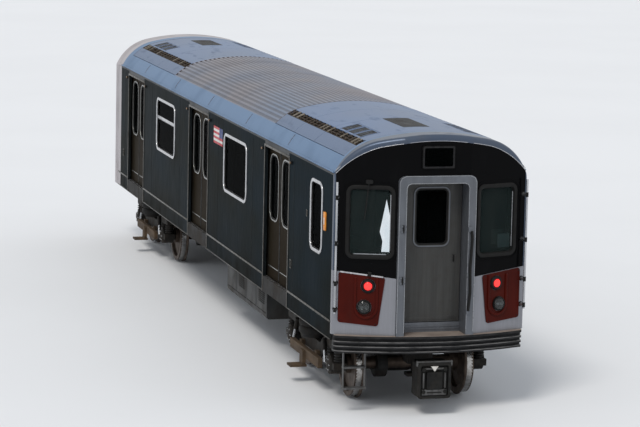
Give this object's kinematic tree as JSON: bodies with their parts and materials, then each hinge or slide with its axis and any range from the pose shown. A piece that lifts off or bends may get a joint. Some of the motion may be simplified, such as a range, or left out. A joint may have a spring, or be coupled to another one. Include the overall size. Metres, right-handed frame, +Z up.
{
  "type": "metro car",
  "caption": "Stainless steel metro end car with a bowed driving end, sliding side doors, a fluted roof and swivelling bogies.",
  "frame": {"origin": "centre of the car on the plane of the wheel flange tips", "axes": "+Z up, -Y out of the driving end, +X across the car"},
  "size_m": [2.68, 15.6499, 3.6468],
  "materials": {
    "underframe_black": "dusty black paint",
    "roof_steel": "weathered stainless steel",
    "unit_steel": "smooth stainless covers",
    "side_steel": "brushed stainless steel",
    "front_silver": "satin silver paint",
    "mask_black": "gloss black paint",
    "cap_grey": "light grey paint",
    "lamp_panel_red": "dark brick red paint",
    "head_lamp_glass": "clear lens over a reflector",
    "tail_lamp_red": "red lens",
    "frame_aluminium": "satin aluminium",
    "door_steel": "brushed steel",
    "leaf_steel": "brushed stainless steel",
    "window_glass": "dark tinted glass",
    "sign_black": "matt black",
    "rail_steel": "polished stainless tube",
    "bogie_cast": "dusty cast steel",
    "motor_black": "black paint",
    "wheel_steel": "rolled steel with bright treads",
    "spring_rubber": "black rubber",
    "shoe_beam": "oiled timber and steel",
    "case_grey": "dark grey paint",
    "seat_plastic": "moulded orange plastic",
    "cab_panel": "beige panel",
    "desk_plastic": "dark grey moulding",
    "cab_fabric": "dark blue cloth"
  },
  "bodies": {
    "root": {"underframe": "underframe_black", "roof": "roof_steel", "side_wall_left": "side_steel", "side_wall_right": "side_steel", "front_end": "front_silver", "front_mask": "mask_black", "rear_end": "cap_grey", "lamp_panels": "lamp_panel_red", "head_lamps": "head_lamp_glass", "tail_lamps": "tail_lamp_red", "front_door_frame": "frame_aluminium", "rear_door_frame": "frame_aluminium", "side_glass": "window_glass", "front_glass": "window_glass", "route_sign": "sign_black", "anticlimber": "underframe_black", "step_ladder": "underframe_black", "grab_rails": "rail_steel", "wiper": "sign_black", "roof_units": "unit_steel", "air_springs": "spring_rubber", "inverter_case": "case_grey", "battery_case": "case_grey", "air_tanks": "case_grey", "benches": "seat_plastic", "handrails": "rail_steel", "cab_partition": "cab_panel", "cab_desk": "desk_plastic", "cab_seat": "cab_fabric"},
    "bogie_front": {"bogie_frame_front": "bogie_cast", "traction_motors_front": "motor_black", "shoe_gear_front": "shoe_beam"},
    "bogie_rear": {"bogie_frame_rear": "bogie_cast", "traction_motors_rear": "motor_black", "shoe_gear_rear": "shoe_beam"},
    "front_door": {"front_door": "door_steel"},
    "rear_door": {"rear_door": "door_steel"},
    "cab_door": {"cab_door": "cab_panel"},
    "coupler_front": {"coupler_front": "bogie_cast"},
    "coupler_rear": {"coupler_rear": "bogie_cast"},
    "wheelset_1": {"wheelset_1": "wheel_steel"},
    "wheelset_2": {"wheelset_2": "wheel_steel"},
    "wheelset_3": {"wheelset_3": "wheel_steel"},
    "wheelset_4": {"wheelset_4": "wheel_steel"},
    "door_front_left_a": {"door_front_left_a": "leaf_steel"},
    "door_front_left_b": {"door_front_left_b": "leaf_steel"},
    "door_front_right_a": {"door_front_right_a": "leaf_steel"},
    "door_front_right_b": {"door_front_right_b": "leaf_steel"},
    "door_middle_left_a": {"door_middle_left_a": "leaf_steel"},
    "door_middle_left_b": {"door_middle_left_b": "leaf_steel"},
    "door_middle_right_a": {"door_middle_right_a": "leaf_steel"},
    "door_middle_right_b": {"door_middle_right_b": "leaf_steel"},
    "door_back_left_a": {"door_back_left_a": "leaf_steel"},
    "door_back_left_b": {"door_back_left_b": "leaf_steel"},
    "door_back_right_a": {"door_back_right_a": "leaf_steel"},
    "door_back_right_b": {"door_back_right_b": "leaf_steel"}
  },
  "joints": [
    {"name": "bogie_front_swivel", "type": "hinge", "parent": "root", "child": "bogie_front", "pos_m": [0, -5.485, 0.6], "axis": [0, 0, 1], "range_deg": [-7.5, 7.5]},
    {"name": "bogie_rear_swivel", "type": "hinge", "parent": "root", "child": "bogie_rear", "pos_m": [0, 5.485, 0.6], "axis": [0, 0, 1], "range_deg": [-7.5, 7.5]},
    {"name": "wheelset_1_turn", "type": "hinge", "parent": "bogie_front", "child": "wheelset_1", "pos_m": [0, -6.5265, 0.459], "axis": [1, 0, 0], "continuous": true},
    {"name": "wheelset_2_turn", "type": "hinge", "parent": "bogie_front", "child": "wheelset_2", "pos_m": [0, -4.4435, 0.459], "axis": [1, 0, 0], "continuous": true},
    {"name": "wheelset_3_turn", "type": "hinge", "parent": "bogie_rear", "child": "wheelset_3", "pos_m": [0, 4.4435, 0.459], "axis": [1, 0, 0], "continuous": true},
    {"name": "wheelset_4_turn", "type": "hinge", "parent": "bogie_rear", "child": "wheelset_4", "pos_m": [0, 6.5265, 0.459], "axis": [1, 0, 0], "continuous": true},
    {"name": "door_front_left_a_slide", "type": "slide", "parent": "root", "child": "door_front_left_a", "axis": [0, -1, 0], "range_m": [0, 0.67]},
    {"name": "door_front_left_b_slide", "type": "slide", "parent": "root", "child": "door_front_left_b", "axis": [0, 1, 0], "range_m": [0, 0.67]},
    {"name": "door_front_right_a_slide", "type": "slide", "parent": "root", "child": "door_front_right_a", "axis": [0, -1, 0], "range_m": [0, 0.67]},
    {"name": "door_front_right_b_slide", "type": "slide", "parent": "root", "child": "door_front_right_b", "axis": [0, 1, 0], "range_m": [0, 0.67]},
    {"name": "door_middle_left_a_slide", "type": "slide", "parent": "root", "child": "door_middle_left_a", "axis": [0, -1, 0], "range_m": [0, 0.67]},
    {"name": "door_middle_left_b_slide", "type": "slide", "parent": "root", "child": "door_middle_left_b", "axis": [0, 1, 0], "range_m": [0, 0.67]},
    {"name": "door_middle_right_a_slide", "type": "slide", "parent": "root", "child": "door_middle_right_a", "axis": [0, -1, 0], "range_m": [0, 0.67]},
    {"name": "door_middle_right_b_slide", "type": "slide", "parent": "root", "child": "door_middle_right_b", "axis": [0, 1, 0], "range_m": [0, 0.67]},
    {"name": "door_back_left_a_slide", "type": "slide", "parent": "root", "child": "door_back_left_a", "axis": [0, -1, 0], "range_m": [0, 0.67]},
    {"name": "door_back_left_b_slide", "type": "slide", "parent": "root", "child": "door_back_left_b", "axis": [0, 1, 0], "range_m": [0, 0.67]},
    {"name": "door_back_right_a_slide", "type": "slide", "parent": "root", "child": "door_back_right_a", "axis": [0, -1, 0], "range_m": [0, 0.67]},
    {"name": "door_back_right_b_slide", "type": "slide", "parent": "root", "child": "door_back_right_b", "axis": [0, 1, 0], "range_m": [0, 0.67]},
    {"name": "front_door_swing", "type": "hinge", "parent": "root", "child": "front_door", "pos_m": [-0.404, -7.46, 2], "axis": [0, 0, 1], "range_deg": [0, 90]},
    {"name": "rear_door_swing", "type": "hinge", "parent": "root", "child": "rear_door", "pos_m": [0.404, 7.38, 2], "axis": [0, 0, 1], "range_deg": [0, 90]},
    {"name": "cab_door_swing", "type": "hinge", "parent": "root", "child": "cab_door", "pos_m": [0.358, -6.1, 2], "axis": [0, 0, -1], "range_deg": [0, 90]},
    {"name": "coupler_front_swing", "type": "hinge", "parent": "root", "child": "coupler_front", "pos_m": [0, -7.05, 0.497], "axis": [0, 0, 1], "range_deg": [-15, 15]},
    {"name": "coupler_rear_swing", "type": "hinge", "parent": "root", "child": "coupler_rear", "pos_m": [0, 7.05, 0.497], "axis": [0, 0, 1], "range_deg": [-15, 15]}
  ],
  "couplings": [
    {"joint": "door_front_left_b_slide", "follows": "door_front_left_a_slide", "ratio": 1},
    {"joint": "door_front_right_b_slide", "follows": "door_front_right_a_slide", "ratio": 1},
    {"joint": "door_middle_left_b_slide", "follows": "door_middle_left_a_slide", "ratio": 1},
    {"joint": "door_middle_right_b_slide", "follows": "door_middle_right_a_slide", "ratio": 1},
    {"joint": "door_back_left_b_slide", "follows": "door_back_left_a_slide", "ratio": 1},
    {"joint": "door_back_right_b_slide", "follows": "door_back_right_a_slide", "ratio": 1}
  ]
}
